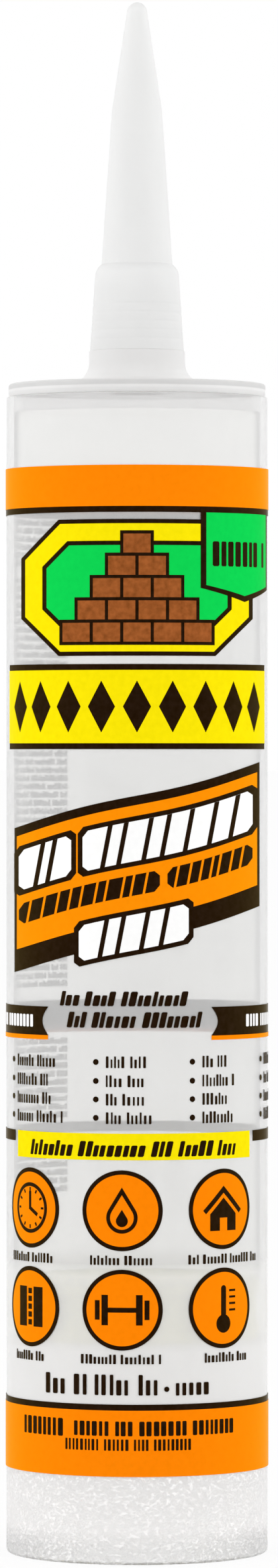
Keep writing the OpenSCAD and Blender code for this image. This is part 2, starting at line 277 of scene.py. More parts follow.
def ink(name, shapes, radii, whole_rings=(), small=()):
    """One piece of ink from shapes, each a list of loops, from rings right round the film, and
    from loops too small to need cutting along its curve."""
    inner, outer = radii
    bm = bmesh.new()
    for loops in shapes:
        if len(loops) == 1 and len(loops[0]) == 4:
            bm.faces.new([bm.verts.new((*p, 0)) for p in loops[0]])
            continue
        verts, faces = fill(loops)
        made = [bm.verts.new((*v, 0)) for v in verts]
        for face in faces:
            bm.faces.new([made[i] for i in face])
        for v in made:
            if not v.link_faces:
                bm.verts.remove(v)
    if bm.verts:
        us = [v.co.x for v in bm.verts]
        first = math.ceil(math.degrees(min(us) / FILM_R) / COLUMN + 1e-6)
        last = math.floor(math.degrees(max(us) / FILM_R) / COLUMN - 1e-6)
        for k in range(first, last + 1):
            bmesh.ops.bisect_plane(bm, geom=bm.verts[:] + bm.edges[:] + bm.faces[:], dist=1e-5,
                                   plane_co=(arc_mm(k * COLUMN), 0, 0), plane_no=(1, 0, 0))
    for loop in small:
        bm.faces.new([bm.verts.new((*p, 0)) for p in loop])
    bm.verts.index_update()
    flat = [v.co.copy() for v in bm.verts]
    faces = [[v.index for v in f.verts] for f in bm.faces]
    rim = [[v.index for v in e.verts] for e in bm.edges if len(e.link_faces) == 1]
    bm.free()
    n = len(flat)
    verts = []
    for r in (outer, inner):
        for co in flat:
            a = co.x / FILM_R - math.pi / 2
            verts.append((r * math.cos(a), r * math.sin(a), FILM_LOW + co.y))
    all_faces = faces + [[n + i for i in reversed(f)] for f in faces]
    all_faces += [[a, b, n + b, n + a] for a, b in rim]
    for low, high in whole_rings:
        base = len(verts)
        ring_verts, ring_faces = lathe_mesh([(inner, FILM_LOW + low), (outer, FILM_LOW + low),
                                             (outer, FILM_LOW + high), (inner, FILM_LOW + high)])
        verts += ring_verts
        all_faces += [[base + i for i in f] for f in ring_faces]
    return mesh_object(name, verts, all_faces, sharp=50)


# Layout of the artwork, from the film's lower edge up. AZ, STEP, REACH, LEFT, RIGHT and TAG_GAP are
# degrees round the tube, the slope is a ratio, and the rest is in millimetres.

TOP_BAND_H = 7.6
LOW_BAND_H = 12.2
KEYLINE = 1.1
YELLOW_GAP = 2.4
YELLOW_H = 13.5
YELLOW_REACH = 75
LOZENGES = 9
LOZENGE_STEP = 15.5
LOZENGE_W = 5.2
LOZENGE_H = 9.6
PANEL_GAP = 1.5
TOP_GAP = 1.3
PANEL_W = 43
PANEL_H = 25.2
PANEL_CUT = 7
PANEL_BORDER = 3.2
PANEL_LINE = 0.8
COURSES = 5
BRICK_L = 5
BRICK_H = 3.5
BRICK_JOINT = 0.6
BRICK_LOW = 2.6
BANNER_GAP = 6.1
BANNER_W = 45.6
BANNER_H = 26.8
BANNER_SLOPE = 0.27
BANNER_SWING = 0.6
BANNER_TOP_LINE = 1.7
BANNER_LOW_BAND = 4.1
BANNER_SIDE_LINE = 0.5
LIST_H = 17.1
RIBBON_H = 5.3
RIBBON_LINE = 0.8
RIBBON_LEFT = 42
RIBBON_RIGHT = 34
RIBBON_NOTCH = 1.5
TAG_LIFT = 1.85
TAG_H = 4.9
TAG_LEFT = 64
TAG_RIGHT = 58
TAG_GAP = 3
SIDE_BAR_H = 2
ICON_GAP = 9.95
ICON_ROW_GAP = 3.4
ICON_D = 14.9
ICON_AZ = -6.5
ICON_STEP = 47
ICON_LINE = 0.8
TAB_AZ = 54
TAB_W = 19
TAB_SIDE = 13.4
TAB_POINT = 1.9
TAB_LINE = 1.1
BLOCK_LINE = 0.9
BLOCK_CUT = 1

icon_low = LOW_BAND_H + KEYLINE + ICON_GAP + ICON_D / 2
icon_rise = ICON_D + ICON_ROW_GAP
tag_low = icon_low + icon_rise + ICON_D / 2 + TAG_LIFT
side_bar_low = tag_low + TAG_H - SIDE_BAR_H
ribbon_low = tag_low + TAG_H + LIST_H + RIBBON_LINE
banner_rise = BANNER_SLOPE * BANNER_W / 2
banner_mid = ribbon_low + RIBBON_H + BANNER_GAP + banner_rise + BANNER_H / 2
yellow_low = banner_mid + BANNER_H / 2 + banner_rise + YELLOW_GAP + KEYLINE
yellow_top = yellow_low + YELLOW_H
panel_low = yellow_top + KEYLINE + PANEL_GAP
top_band_low = panel_low + PANEL_H + TOP_GAP + KEYLINE
FIT = FILM_H / (top_band_low + TOP_BAND_H)


def up(loop):
    """Loop of the artwork, fitted to the film's height."""
    return [(x, h * FIT) for x, h in loop]


def panel(inset):
    w = PANEL_W / 2 - inset
    low, high = panel_low + inset, panel_low + PANEL_H - inset
    cut = PANEL_CUT - inset * (2 - math.sqrt(2))
    return unroll(up([(-w + cut, low), (w - cut, low), (w, low + cut), (w, high - cut),
                      (w - cut, high), (-w + cut, high), (-w, high - cut), (-w, low + cut)]))


def bricks():
    loops = []
    for row in range(COURSES):
        for i in range(COURSES - row):
            x = (i - (COURSES - 1 - row) / 2) * (BRICK_L + BRICK_JOINT) - BRICK_L / 2
            h = panel_low + BRICK_LOW + row * (BRICK_H + BRICK_JOINT)
            loops.append(unroll(up([(x, h), (x + BRICK_L, h), (x + BRICK_L, h + BRICK_H),
                                    (x, h + BRICK_H)])))
    return loops


def brick_stack(edge):
    """Outline of the stack as one stepped loop."""
    right = []
    for row in range(COURSES):
        half = (COURSES - row) * (BRICK_L + BRICK_JOINT) / 2 - BRICK_JOINT / 2 + edge
        low = panel_low + BRICK_LOW + row * (BRICK_H + BRICK_JOINT) - (edge if row == 0 else 0)
        low += 0 if row == 0 else edge - BRICK_JOINT
        high = panel_low + BRICK_LOW + (row + 1) * (BRICK_H + BRICK_JOINT) - BRICK_JOINT + edge
        right += [(half, low), (half, high)]
    return unroll(up(right + [(-x, h) for x, h in reversed(right)]))


def tab(edge):
    top = top_band_low - (0 if edge > 0 else KEYLINE)
    side = top_band_low - KEYLINE - TAB_SIDE - edge / 2
    half = TAB_W / 2 + edge
    return unroll(up([(-half, top), (-half, side), (0, side - TAB_POINT - edge / 2),
                      (half, side), (half, top)]), TAB_AZ)


def on_banner(x, h):
    return x, (banner_mid + BANNER_SLOPE * x
               - BANNER_SWING * math.sin(2 * math.pi * x / BANNER_W) + h)


def banner(start, end, low, high):
    steps = 24
    xs = [start + (end - start) * i / steps for i in range(steps + 1)]
    return unroll(up([on_banner(x, low) for x in xs]
                     + [on_banner(x, high) for x in reversed(xs)]))


def block(split, low, height, edge=0.0):
    x0, x1, z0, z1 = split[0] - edge, split[1] + edge, low - edge, low + height + edge
    c = BLOCK_CUT
    steps = 10
    foot = [on_banner(x0 + c + (x1 - x0 - 2 * c) * i / steps, z0) for i in range(steps + 1)]
    head = [on_banner(x1 - c - (x1 - x0 - 2 * c) * i / steps, z1) for i in range(steps + 1)]
    return unroll(up(foot + [on_banner(x1, z0 + c), on_banner(x1, z1 - c)]
                     + head + [on_banner(x0, z1 - c), on_banner(x0, z0 + c)]))


BLOCK_LEFT = -BANNER_W / 2 + BLOCK_LINE
BLOCK_RIGHT = BANNER_W / 2 - BLOCK_LINE - BANNER_SIDE_LINE
# Blocks of the banner: their ends, their foot over the banner's middle line and their height
HEADLINES = [((BLOCK_LEFT, -12.1), 1.4, 7.4), ((-10, BLOCK_RIGHT), 1.4, 7.4)]
BARS = [((BLOCK_LEFT, 4.2), -4.9, 3.8), ((5.6, BLOCK_RIGHT), -4.9, 3.8)]
LOW_BLOCK = ((-10.7, 9.5), -15, 6.6)


def disc(r, az, height):
    return unroll(circle(r, 0, height, 72), az)


ICON_PLACES = [(ICON_AZ + column * ICON_STEP, (icon_low + row * icon_rise) * FIT, row, column)
               for row in (0, 1) for column in (-1, 0, 1)]
ICON_R = ICON_D / 2 * FIT


# Greeked words: rows of small plain blocks that stand for text and spell nothing

# Spreads are shares of the mean width. A low block and the gap between words are shares of the size,
# and a line takes one more block while it has room for LAST_ROOM of its width.
BLOCK_SPREAD = (0.75, 1.35)
GAP_SPREAD = (0.8, 1.2)
LOW_SHARE = 0.74
WORD_GAP = 0.34
LAST_ROOM = 0.6
SHORTEST = 3
CHIP_CUT = 0.16


def chip(u, h, w, t, lean):
    """A small block with cut corners. Lean shifts its top sideways."""
    c = min(w, t) * CHIP_CUT
    pts = [(u + c, h), (u + w - c, h), (u + w, h + c), (u + w, h + t - c),
           (u + w - c, h + t), (u + c, h + t), (u, h + t - c), (u, h + c)]
    return [(x + (y - h) * lean, y) for x, y in pts]


def words(rng, start, end, h, size, weight, gap, lean=0.0, tall=0.4, longest=9):
    """Blocks between two azimuths on the line at height h, in groups. Weight is a block's width and
    gap the space after it, as shares of the size."""
    loops, u, u1 = [], arc_mm(start), arc_mm(end)
    left, first = rng.randint(SHORTEST, longest), True
    while u + weight * size * LAST_ROOM < u1:
        w = min(size * weight * rng.uniform(*BLOCK_SPREAD), u1 - u)
        t = size if first or rng.random() < tall else size * LOW_SHARE
        loops.append(chip(u, h, w, t, lean))
        u += w + size * gap * rng.uniform(*GAP_SPREAD)
        left -= 1
        first = left <= 0
        if first:
            u += size * WORD_GAP
            left = rng.randint(SHORTEST, longest)
    return loops


# Materials

def principled(name, colour, roughness, **sockets):
    mat = bpy.data.materials.new(name)
    mat.use_nodes = True
    shader = mat.node_tree.nodes["Principled BSDF"]
    shader.inputs["Base Color"].default_value = (*colour, 1)
    shader.inputs["Roughness"].default_value = roughness
    for key, value in sockets.items():
        shader.inputs[key.replace("_", " ")].default_value = value
    return mat


def node(mat, kind, place, **values):
    made = mat.node_tree.nodes.new(kind)
    made.location = place
    for key, value in values.items():
        if key in made.inputs:
            made.inputs[key].default_value = value
        else:
            setattr(made, key, value)
    return made


def coords(mat, scale, place=(-1100, 0)):
    where = node(mat, "ShaderNodeTexCoord", (place[0] - 200, place[1]))
    mapping = node(mat, "ShaderNodeMapping", place)
    mapping.inputs["Scale"].default_value = scale
    mat.node_tree.links.new(where.outputs["Object"], mapping.inputs["Vector"])
    return mapping.outputs["Vector"]


def noise(mat, vector, scale, octaves=3, place=(-850, 0)):
    made = node(mat, "ShaderNodeTexNoise", place, Scale=scale, Detail=octaves, Roughness=0.5)
    mat.node_tree.links.new(vector, made.inputs["Vector"])
    return made.outputs["Fac"]


def ramp(mat, fac, low, high, place, start=0.3, end=0.7):
    """A value or colour that runs from low to high as fac does."""
    made = node(mat, "ShaderNodeValToRGB", place)
    made.color_ramp.elements[0].position = start
    made.color_ramp.elements[1].position = end
    as_colour = [v if isinstance(v, tuple) else (v, v, v) for v in (low, high)]
    made.color_ramp.elements[0].color = (*as_colour[0], 1)
    made.color_ramp.elements[1].color = (*as_colour[1], 1)
    mat.node_tree.links.new(fac, made.inputs["Fac"])
    return made.outputs["Color"]


def detail(mat, colours, roughness, scale=(1, 1, 1), size=400, bump_size=1500, bump=0.05,
           distance=0.0001, bump_scale=None):
    """Colour, roughness and bump of one material from its own noises."""
    shader = mat.node_tree.nodes["Principled BSDF"]
    links = mat.node_tree.links
    place = coords(mat, scale)
    broad = noise(mat, place, size)
    links.new(ramp(mat, broad, *colours, (-560, 240)), shader.inputs["Base Color"])
    links.new(ramp(mat, broad, *roughness, (-560, 0)), shader.inputs["Roughness"])
    fine_place = place if bump_scale is None else coords(mat, bump_scale, (-1100, -400))
    fine = noise(mat, fine_place, bump_size, 4, (-850, -400))
    made = node(mat, "ShaderNodeBump", (-300, -300), Strength=bump, Distance=distance)
    links.new(fine, made.inputs["Height"])
    links.new(made.outputs["Normal"], shader.inputs["Normal"])
    return mat


def ink_material(name, colour, spread, **sockets):
    """Ink whose colour varies by the given share."""
    mat = principled(name, colour, 0.06, Specular_IOR_Level=0.003, **sockets)
    light = tuple(min(1, c * (1 + spread) + spread * 0.02) for c in colour)
    dark = tuple(c * (1 - spread) for c in colour)
    return detail(mat, (dark, light), (0.06, 0.1), size=900, bump_size=2600, bump=0.05,
                  distance=0.00004)


def place_of(mat, axis, place):
    """Object coordinate of a point along one axis, or its distance from the tube's axis."""
    links = mat.node_tree.links
    where = node(mat, "ShaderNodeTexCoord", (place[0] - 600, place[1]))
    apart = node(mat, "ShaderNodeSeparateXYZ", (place[0] - 400, place[1]))
    links.new(where.outputs["Object"], apart.inputs[0])
    if axis == "Z":
        return apart.outputs["Z"]
    flat = node(mat, "ShaderNodeCombineXYZ", (place[0] - 200, place[1]))
    links.new(apart.outputs["X"], flat.inputs["X"])
    links.new(apart.outputs["Y"], flat.inputs["Y"])
    radius = node(mat, "ShaderNodeVectorMath", place, operation="LENGTH")
    links.new(flat.outputs[0], radius.inputs[0])
    return radius.outputs["Value"]


def feed(mat, value, socket):
    """Gives a socket a number, or links it to another one."""
    if isinstance(value, (int, float)):
        socket.default_value = value
    else:
        mat.node_tree.links.new(value, socket)


def map_range(mat, value, start, end, low, high, place):
    """Runs from low to high as a value runs from start to end."""
    made = node(mat, "ShaderNodeMapRange", place)
    sockets = ("Value", "From Min", "From Max", "To Min", "To Max")
    for key, given in zip(sockets, (value, start, end, low, high)):
        feed(mat, given, made.inputs[key])
    return made.outputs[0]


def fade(mat, value, start, end, low, high, place):
    """Runs from low to high as a place in millimetres runs from start to end."""
    if start > end:
        start, end, low, high = end, start, high, low
    return map_range(mat, value, start * MM, end * MM, low, high, place)


def follow(mat, value, stops, place):
    """Number that follows a list of places in millimetres and values, straight between them."""
    low, high = stops[0][0], stops[-1][0]
    made = node(mat, "ShaderNodeValToRGB", place)
    ends = made.color_ramp.elements
    while len(ends) < len(stops):
        ends.new(0.5)
    for end, (at, number) in zip(ends, stops):
        end.position = (at - low) / (high - low)
        end.color = (number, number, number, 1)
    mat.node_tree.links.new(fade(mat, value, low, high, 0, 1, (place[0] - 250, place[1])),
                            made.inputs["Fac"])
    return made.outputs["Color"]


def combine(mat, operation, a, b, place):
    made = node(mat, "ShaderNodeMath", place, operation=operation)
    feed(mat, a, made.inputs[0])
    feed(mat, b, made.inputs[1])
    return made.outputs[0]


def blend(mat, share, low, high, place):
    """Value that runs from low to high as share runs from 0 to 1."""
    return map_range(mat, share, 0, 1, low, high, place)


def shade(mat, share):
    """Paints shade into the material's colour: multiplies it by a share that varies over the surface."""
    shader = mat.node_tree.nodes["Principled BSDF"]
    shaded_colour = node(mat, "ShaderNodeMix", (-200, 400), data_type="RGBA", blend_type="MULTIPLY")
    shaded_colour.inputs["Factor"].default_value = 1
    mat.node_tree.links.new(shader.inputs["Base Color"].links[0].from_socket, shaded_colour.inputs[6])
    mat.node_tree.links.new(share, shaded_colour.inputs[7])
    mat.node_tree.links.new(shaded_colour.outputs[2], shader.inputs["Base Color"])


# Height up to which the foot is clearest, the noise that speckles it, with the values of it between
# which the foot turns from clear to milky, and the bump of the wall and of the foot
RIM_ZONE = 4
SPECK_SCALE = 1500
SPECK_EDGE = (0.54, 0.64)
SPECK_CLEARNESS = (1.15, 0.2)
WALL_BUMP = 0.02
FOOT_BUMP = 0.45


def milky(mat, rough, outside, beside, bore, dry, rim_share):
    """Sets how clear the wall is: its milky outside, more so beside the piston, its bore that the
    gel wets, the dry part below the piston, which is rougher too, and the speckled foot."""
    links = mat.node_tree.links
    shader = mat.node_tree.nodes["Principled BSDF"]
    smooth = shader.inputs["Roughness"].links[0].from_socket
    height = place_of(mat, "Z", (-900, 700))
    radius = place_of(mat, "R", (-900, 1000))
    in_bore = fade(mat, radius, BORE_R + 0.3, BORE_R + 0.1, 0, 1, (-700, 1000))
    below = fade(mat, height, PISTON_LOW + 0.5, PISTON_LOW - 1.5, 0, 1, (-700, 800))
    foot = fade(mat, height, FILM_LOW + 0.2, FILM_LOW - 0.2, 0, 1, (-700, 400))
    dry_bore = combine(mat, "MULTIPLY", in_bore, below, (-500, 900))
    frosted = combine(mat, "MAXIMUM", dry_bore, foot, (-350, 800))
    skin_here = fade(mat, height, PISTON_TOP + 4, PISTON_TOP + 1.5, outside, beside, (-700, 600))
    wet = blend(mat, in_bore, skin_here, bore, (-350, 1000))
    links.new(blend(mat, frosted, smooth, rough, (-150, 800)), shader.inputs["Roughness"])
    rim = fade(mat, height, RIM_ZONE + 2, RIM_ZONE - 2, dry, rim_share, (-500, 500))
    grain = noise(mat, coords(mat, (1, 1, 1.6), (-1100, 200)), SPECK_SCALE, 2, (-850, 200))
    specks = map_range(mat, grain, *SPECK_EDGE, *SPECK_CLEARNESS, (-700, 0))
    speckled = combine(mat, "MULTIPLY", rim, specks, (-500, 350))
    skin = blend(mat, foot, rim, speckled, (-350, 500))
    links.new(blend(mat, below, wet, skin, (-150, 1000)), shader.inputs["Transmission Weight"])
    links.new(fade(mat, height, FILM_LOW + 0.2, FILM_LOW - 0.2, WALL_BUMP, FOOT_BUMP, (-500, 200)),
              shader.inputs["Normal"].links[0].from_node.inputs["Strength"])


PLASTIC = detail(principled("translucent_barrel", (0.99, 0.985, 0.98), 0.1, IOR=1.49,
                            Transmission_Weight=0.96, Specular_IOR_Level=0.35),
                 ((0.993, 0.989, 0.985), (0.998, 0.994, 0.99)), (0.03, 0.07), scale=(1, 1, 0.3), size=200,
                 bump_size=2600, bump=WALL_BUMP, distance=0.00005, bump_scale=(1, 1, 1))
milky(PLASTIC, rough=0.42, outside=0.7, beside=0.45, bore=0.97, dry=0.34, rim_share=0.85)
HEAD = detail(principled("translucent_head", (0.98, 0.975, 0.97), 0.34, IOR=1.49,
                         Transmission_Weight=0.3, Specular_IOR_Level=0.35),
              ((0.97, 0.965, 0.96), (0.985, 0.98, 0.975)), (0.28, 0.4), size=300, bump_size=1200,
              bump=0.08)
# How solid the head is, and the painted shade in its colour, at heights over the barrel's top: a clear
# spigot, the flange's pale foot, a bright line of painted highlight, a grey top of painted shade, and the
# solid boss
HEAD_SOLIDITY = ((-4, 0.16), (-2, 0.08), (0.02, 0.08), (0.08, 0.95), (0.85, 0.95), (0.95, 1),
                 (1.35, 1), (1.5, 0.9), (FLANGE_T, 0.9), (FLANGE_T + 1, 1))
HEAD_PAINTED_SHADE = ((1.3, 1), (1.5, 0.82), (FLANGE_T - 0.3, 0.82), (FLANGE_T - 0.06, 1))
head_height = place_of(HEAD, "Z", (-900, 900))
solidity, painted_shade = (follow(HEAD, head_height, [(BARREL_TOP + over, n) for over, n in stops], place)
                       for stops, place in ((HEAD_SOLIDITY, (-300, 900)), (HEAD_PAINTED_SHADE, (-300, 650))))
feed(HEAD, solidity, HEAD.node_tree.nodes["Principled BSDF"].inputs["Alpha"])
# Painted shade darkens the flange's top to grey, which leaves a painted highlight line under it
shade(HEAD, painted_shade)
NOZZLE = detail(principled("milky_nozzle", (0.965, 0.965, 0.96), 0.36, IOR=1.5,
                           Transmission_Weight=0.3, Specular_IOR_Level=0.3),
                ((0.95, 0.95, 0.945), (0.975, 0.975, 0.97)), (0.3, 0.44), scale=(1, 1, 0.25), size=260,
                bump_size=1400, bump=0.07)
PISTON = detail(principled("piston_plastic", (0.99, 0.965, 0.6), 0.45, Specular_IOR_Level=0.3),
                ((0.985, 0.955, 0.56), (0.995, 0.97, 0.62)), (0.4, 0.55), size=300, bump_size=1600,
                bump=0.1)
GEL = detail(principled("clear_gel", (0.985, 0.987, 0.97), 0.02, IOR=1.02, Transmission_Weight=1.0),
             ((0.992, 0.997, 0.98), (0.996, 1, 0.986)), (0.0, 0.02), scale=(1, 1, 0.35), size=120,
             bump_size=220, bump=0.03, distance=0.0002)
# Painted shade: the gel's colour darkens where it is seen edge on, which draws the line of the bore
# inside the wall
edge_on = node(GEL, "ShaderNodeLayerWeight", (-800, 500), Blend=0.5)
shade(GEL, ramp(GEL, edge_on.outputs["Facing"], 1, 0.2, (-560, 500), 0.66, 0.88))
SEAL = detail(principled("seal_membrane", (0.8, 0.81, 0.82), 0.35, Metallic=0.85),
              ((0.76, 0.77, 0.78), (0.84, 0.85, 0.86)), (0.28, 0.42), size=700, bump_size=2200,
              bump=0.2)
FILM = detail(principled("clear_film", (0.93, 0.93, 0.925), 0.14, Alpha=0.1, Specular_IOR_Level=0.5),
              ((0.9, 0.9, 0.895), (0.95, 0.95, 0.945)), (0.1, 0.2), scale=(1, 1, 0.4), size=180,
              bump_size=320, bump=0.1, distance=0.0002)
BLACK = ink_material("ink_black", (0.0125, 0.004, 0.001), spread=0.15, Sheen_Weight=0.12,
                     Sheen_Roughness=0.5, Sheen_Tint=(1, 0.75, 0.15, 1))
ORANGE_SHEEN = {"Sheen_Weight": 1.0, "Sheen_Roughness": 0.5, "Sheen_Tint": (1, 0.5, 0.004, 1)}
ORANGE = ink_material("ink_orange", (0.96, 0.222, 0.001), spread=0.03, **ORANGE_SHEEN)
BANNER_ORANGE = ink_material("ink_banner_orange", (0.96, 0.262, 0.0012), spread=0.03, **ORANGE_SHEEN)
YELLOW = ink_material("ink_yellow", (0.91, 0.75, 0.002), spread=0.03)
GREEN = ink_material("ink_green", (0.004, 0.62, 0.08), spread=0.03)
BROWN = ink_material("ink_brown", (0.3, 0.085, 0.018), spread=0.22)
WHITE = ink_material("ink_white", (0.94, 0.94, 0.935), spread=0.015)
GREY = ink_material("ink_grey", (0.06, 0.055, 0.05), spread=0.1)


# Mouldings

def thread(crest, depth, low, high):
    """Warp that cuts a single-start screw thread into a turned surface of one radius."""
    def warp(r, z, a):
        if abs(r - crest) > 1e-3 or not low - 1e-6 <= z <= high + 1e-6:
            return 0
        phase = ((z - low) / THREAD_PITCH - a / (2 * math.pi)) % 1
        across = abs(phase - 0.5) * 2
        ridge = min(1, max(0, (across - (1 - THREAD_RISE)) / (THREAD_RISE * THREAD_RUN)))
        ends = min(1, (z - low) / THREAD_RUN_OUT, (high - z) / THREAD_RUN_OUT)
        return depth * ridge * max(0, ends)
    return warp


flange_top = BARREL_TOP + FLANGE_T
dress(lathe("barrel_wall",
            arc(BARREL_R - EDGE_ROUND, EDGE_ROUND, EDGE_ROUND, -90, 0)
            + line((BARREL_R, EDGE_ROUND), (BARREL_R, BARREL_TOP - TOP_ROUND), 24)
            + arc(BARREL_R - TOP_ROUND, BARREL_TOP - TOP_ROUND, TOP_ROUND, 0, 90)
            + [(BORE_R, BARREL_TOP)] + line((BORE_R, BARREL_TOP), (BORE_R, MOUTH), 24)
            + [(BORE_R, MOUTH), (BORE_R + MOUTH, 0)]),
      "tube", "translucent_plastic", PLASTIC, "barrel")

neck_low = flange_top + BOSS_H
neck_rows = round((NECK_TOP - NECK_CHAMFER - neck_low) / THREAD_ROW)
dress(lathe("head_moulding",
            [(NECK_BORE_R, BARREL_TOP + EASE), (NECK_BORE_R + EASE, BARREL_TOP)]
            + line((NECK_BORE_R + EASE, BARREL_TOP), (BORE_R - SPIGOT_WALL, BARREL_TOP), 8)
            + arc(BORE_R - SPIGOT_WALL - 0.4, BARREL_TOP - 0.4, 0.4, 90, 0, 4)
            + [(BORE_R - SPIGOT_WALL, BARREL_TOP - SPIGOT_LEN + EASE),
               (BORE_R - SPIGOT_WALL + EASE, BARREL_TOP - SPIGOT_LEN),
               (BORE_R - 0.35, BARREL_TOP - SPIGOT_LEN), (BORE_R - 0.04, BARREL_TOP - SPIGOT_LEN + 0.5),
               (BORE_R - 0.04, BARREL_TOP + 0.01),
               (FLANGE_R - GROOVE, BARREL_TOP + 0.01), (FLANGE_R - GROOVE, BARREL_TOP + GROOVE_H),
               (FLANGE_R, BARREL_TOP + GROOVE_H + 0.1)]
            + arc(FLANGE_R - FLANGE_ROUND, flange_top - FLANGE_ROUND, FLANGE_ROUND, 0, 90, 8)
            + line((FLANGE_R - FLANGE_ROUND, flange_top), (BOSS_R + BOSS_FLARE, flange_top), 6)
            + arc(BOSS_R + BOSS_FLARE, flange_top + BOSS_FLARE, BOSS_FLARE, 270, 180, 16)
            + arc(BOSS_R - SEAM_ROUND, neck_low - SEAM_ROUND, SEAM_ROUND, 0, 90, 4)
            + [(NECK_R, neck_low)]
            + line((NECK_R, neck_low), (NECK_R, NECK_TOP - NECK_CHAMFER), neck_rows)
            + [(NECK_R, NECK_TOP - NECK_CHAMFER), (NECK_R - NECK_CHAMFER, NECK_TOP),
               (NECK_BORE_R + 0.2, NECK_TOP), (NECK_BORE_R, NECK_TOP - 0.2)],
            thread(NECK_R, -NECK_THREAD_DEPTH, neck_low + 0.6, NECK_TOP - 1.4)),
      "tube", "translucent_plastic", HEAD, "head")

dress(lathe("neck_membrane",
            [(0, NECK_TOP + 0.01), (SEAL_R, NECK_TOP + 0.01), (SEAL_R, SEAL_TOP - 0.06),
             (SEAL_R - 0.06, SEAL_TOP), (NECK_BORE_R + 0.5, SEAL_TOP),
             (NECK_BORE_R - 0.2, SEAL_TOP - 0.1), (0, SEAL_TOP - 0.12)]),
      "tube", "seal_foil", SEAL, "inner_seal")

shoulder_end = math.degrees(math.acos((SPOUT_R - COLLAR_TOP_R + SHOULDER_R) / SHOULDER_R))
tip_z = NOZZLE_H - TIP_R
tip_start = (math.degrees(math.atan2(WAIST_H - tip_z, WAIST_R))
             + math.degrees(math.acos(TIP_R / math.hypot(WAIST_R, tip_z - WAIST_H))))
shoulder = arc(COLLAR_TOP_R - SHOULDER_R, COLLAR_H, SHOULDER_R, 0, shoulder_end, 12)
socket_top = NECK_TOP - BOSS_TOP + (SEAL_TOP - NECK_TOP) + SOCKET_GAP
socket_rows = round(socket_top / THREAD_ROW)
outer_form = ([(COLLAR_R - SEAM_ROUND, 0)]
              + arc(COLLAR_R - SEAM_ROUND, SEAM_ROUND, SEAM_ROUND, -90, 0, 4)
              + line((COLLAR_R, SEAM_ROUND), shoulder[0], 68) + shoulder
              + line(shoulder[-1], (WAIST_R, WAIST_H), 14) + [(WAIST_R, WAIST_H)]
              + arc(0, tip_z, TIP_R, tip_start, 90, 14)[:-1] + [(0, NOZZLE_H)])
inner_form = [(0, tip_z), (TIP_R - SPOUT_WALL, tip_z), (WAIST_R - SPOUT_WALL, WAIST_H),
              (SPOUT_R - SPOUT_WALL, socket_top + 1), (SOCKET_R, socket_top)]
inner_form += line((SOCKET_R, socket_top), (SOCKET_R, EASE), socket_rows)
inner_form += [(SOCKET_R, EASE), (SOCKET_R + EASE, 0)]


def turned_shell(name, outer, inner, warp):
    """A shell that is closed at its tip: an outer skin and an inner skin joined at the foot."""
    verts, faces = lathe_mesh(outer, warp)
    base = len(verts)
    more, inner_faces = lathe_mesh(inner, warp)
    verts += more
    faces += [[base + i for i in f] for f in inner_faces]
    last = base + len(more) - SEGMENTS
    faces += [[k, (k + 1) % SEGMENTS, last + (k + 1) % SEGMENTS, last + k] for k in range(SEGMENTS)]
    return mesh_object(name, verts, faces)


def ring_marks(low, high):
    """Warp that cuts faint rings into the collar's outside."""
    def warp(r, z, a):
        if r < SOCKET_R + 0.5 or not low < z < high:
            return 0
        phase = (z - low) / RING_PITCH % 1
        return -RING_DEPTH * max(0, 1 - abs(phase - 0.5) * RING_SHARPNESS)
    return warp


def both(first, second):
    return lambda r, z, a: first(r, z, a) + second(r, z, a)


dress(turned_shell("nozzle_moulding",
                   [(r, BOSS_TOP + z) for r, z in outer_form],
                   [(r, BOSS_TOP + z) for r, z in inner_form],
                   both(thread(SOCKET_R, SOCKET_THREAD_DEPTH, BOSS_TOP + 0.8,
                               BOSS_TOP + socket_top - 1.2),
                        ring_marks(BOSS_TOP + RING_LOW, BOSS_TOP + RING_HIGH))),
      "nozzle", "nozzle_plastic", NOZZLE, "nozzle")

skirt_r = LIP_R - SKIRT_IN
seat_r = skirt_r - SKIRT_WALL
rib_r = seat_r - SKIRT_STEP
seat_z = PISTON_LOW + SEAT_DEPTH
crown_z = PISTON_TOP - CROWN


